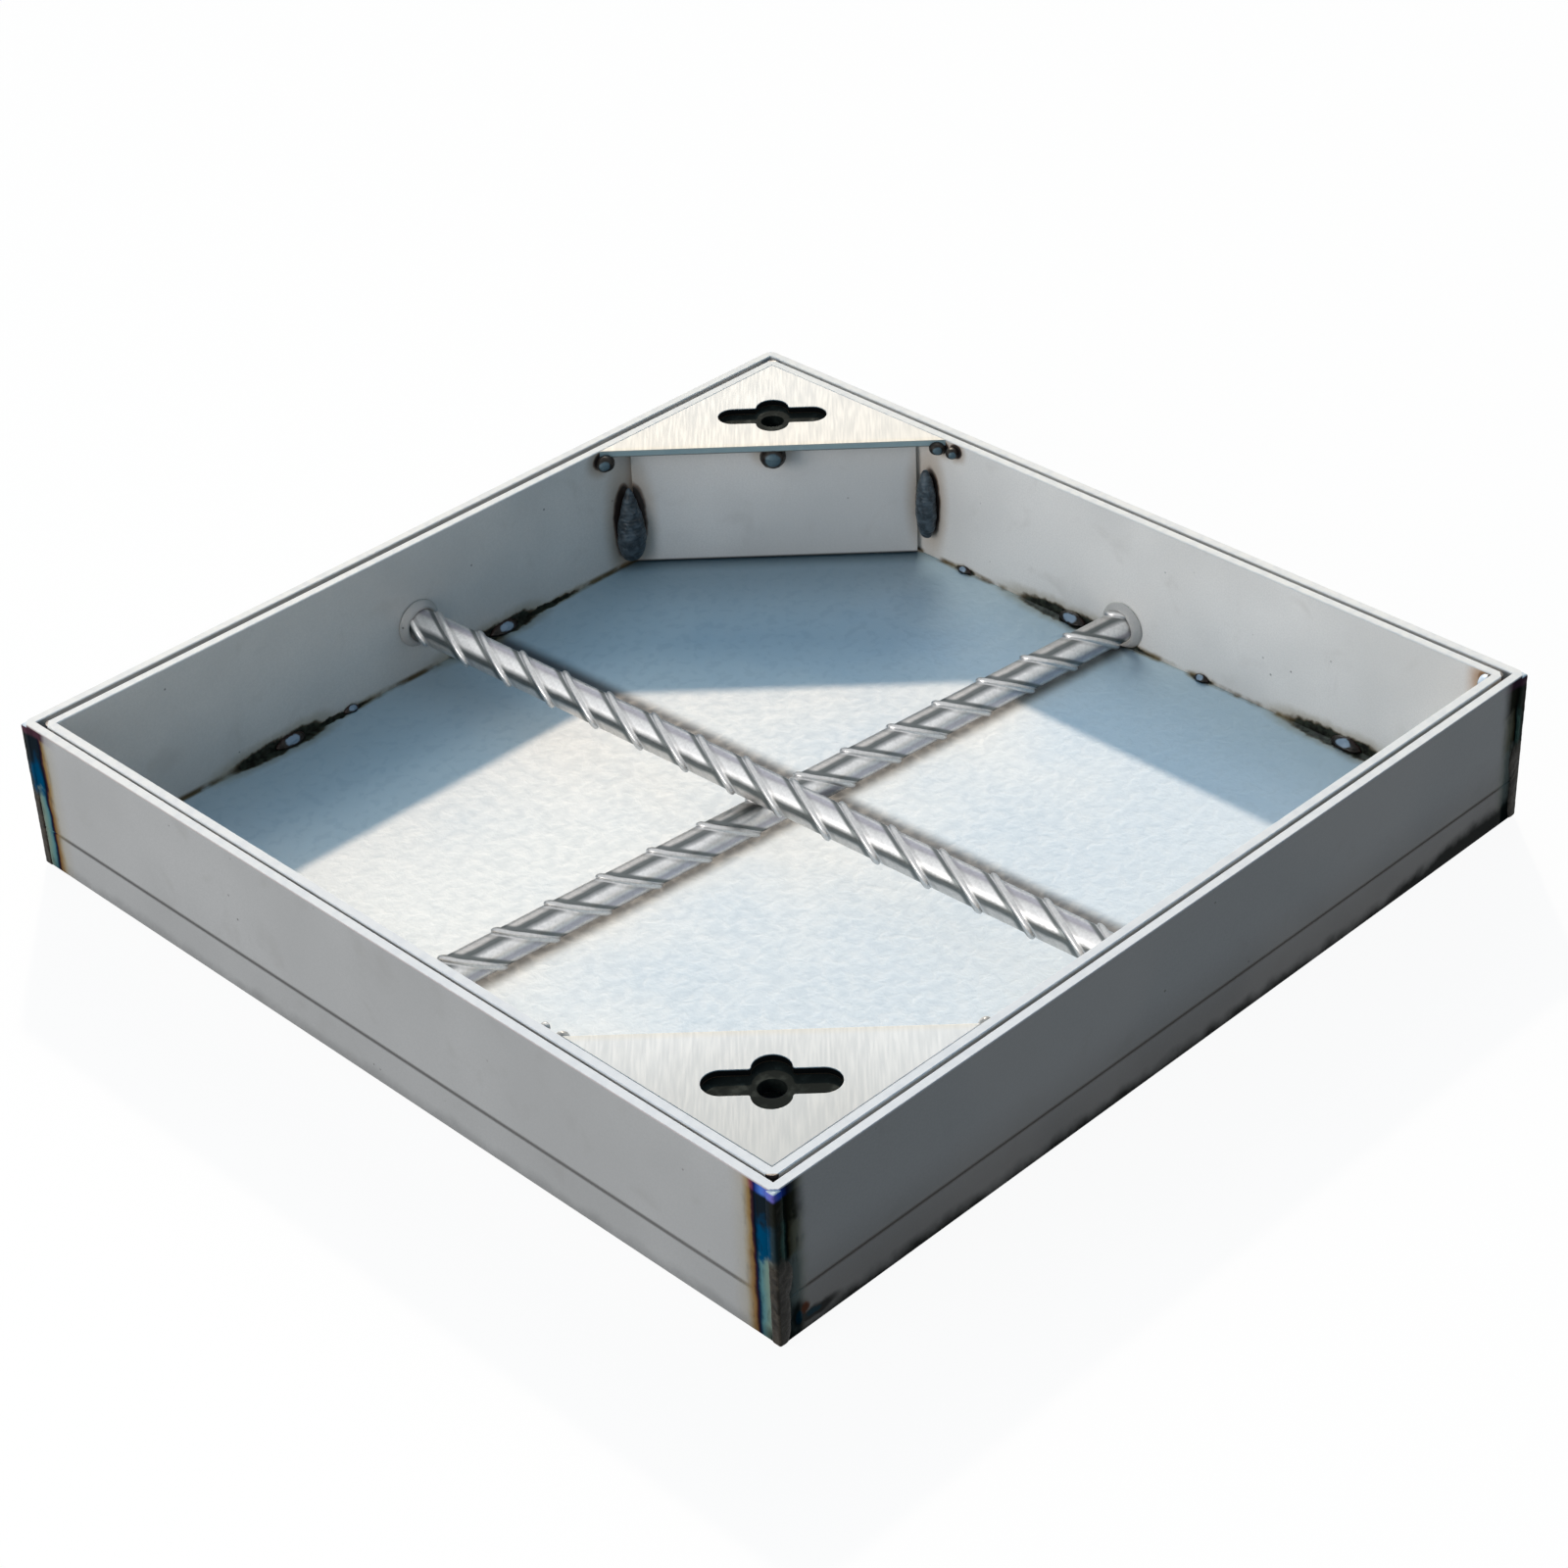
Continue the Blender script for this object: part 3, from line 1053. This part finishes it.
for side in SIDES:
    piece = merged_copy("floor_tacks_" + side, "rough_floor_tacks_" + side)
    roughen(piece, 0.45, 0.6, 2)
    finish_piece(piece, floor_tack_metal, "weld_metal", "floor_tacks_" + side)
    piece = merged_copy("bar_weld_" + side, "rough_bar_weld_" + side)
    roughen(piece, 0.5, 0.5, 30)
    finish_piece(piece, collar_metal, "weld_metal", "bar_weld_" + side)
    paint("frame_stitches_" + side, pocket_weld_metal)
for corner in CORNERS:
    paint("tray_corner_weld_" + corner, pocket_weld_metal)

# %% [markdown]
# ## Corner beads
# Where two strips of the frame meet, their corner is filled with one upright bead of weld. The
# bead was ground nearly flush higher up and left lumpy near the ground. A square rod with its
# edges rounded and four flat drops of metal on it are melted into one skin, and the finished
# bead is mirrored to the other corners.

# %% Model the corner beads
def corner_bead(name, foot, top):
    """An upright bead, flush above, with lumps of metal run out over one face below."""
    bpy.ops.object.select_all(action="DESELECT")
    side = 4.2 * mm
    x, y = cad_low[0] + side / 2 + 0.15 * mm, cad_low[1] + side / 2 + 0.15 * mm
    bpy.ops.mesh.primitive_cube_add(size=1, location=(x, y, (top + foot) / 2), scale=(side, side, top - foot))
    bpy.ops.object.transform_apply(location=False, rotation=False, scale=True)
    apply_modifier(bpy.context.object, "BEVEL", width=0.8 * mm, segments=3, limit_method="ANGLE")
    parts = [bpy.context.object]
    for sideways, height, reach in ((3.9, 27, (3.6, 0.7, 8.0)), (3.2, 14, (2.8, 0.65, 11)),
                                    (3.0, 6, (2.6, 0.6, 5.0)), (1.6, 33, (1.4, 1.0, 3.0))):
        bpy.ops.mesh.primitive_uv_sphere_add(
            segments=32, ring_count=16, radius=1,
            location=(cad_low[0] + sideways * mm, cad_low[1] + (reach[1] + 0.1) * mm, height * mm))
        bpy.context.object.scale = [half * mm for half in reach]
        parts.append(bpy.context.object)
    for part in parts:
        part.select_set(True)
    bead = bpy.context.object
    bead.name = name
    bpy.ops.object.join()
    bpy.ops.object.transform_apply()
    roughen(bead, 0.3, 0.3, 2)
    return bead


def bead_finish():
    """Scaly grey weld that takes the corner's heat colours higher up."""
    finish = Finish("corner bead metal", 0.1, 0.5, 0.12)
    scale = finish.noise(3, detail=4, distortion=0.5)
    colour = finish.mark(tone(0.14, 0.13, 0.115), tone(0.27, 0.25, 0.225), scale, 0.35, 0.7)
    heat = corner_band(finish, wavering(finish, 9, 1.0))[0]
    height = finish.split(finish.place)[2]
    colour = finish.mark(colour, heat, height, 32 * mm, 38 * mm)
    finish.dull(finish.step(height, 28 * mm, 38 * mm, 0.4, 0.9))
    colour = finish.mark(colour, grey(0.85, -0.03), height, 64.0 * mm, 64.3 * mm)
    finish.bump(scale, 0.12)
    return finish.done(colour, finish.step(scale, 0.3, 0.7, 0.34, 0.52))


bead_metal = bead_finish()
first_bead = corner_bead("bead_" + CORNERS[0], 0.4 * mm, 64.5 * mm)
for corner, mirror in zip(CORNERS, ((1, 1), (-1, 1), (-1, -1), (1, -1))):
    bead = first_bead
    if corner != CORNERS[0]:
        bead = own_copy("bead_" + corner, first_bead.data)
        bead.scale = (*mirror, 1)
        bpy.ops.object.transform_apply()
        on_whole_mesh(bpy.ops.mesh.normals_make_consistent, inside=False)
    finish_piece(bead, bead_metal, "corner_weld", "frame_corner_weld_" + corner)

# %% Write down both boxes
visual_low, visual_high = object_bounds()
growth = zip((*visual_low, *visual_high), (*cad_low, *cad_high))
print("grown by, mm:", [round((seen - solid) / mm, 2) for seen, solid in growth])
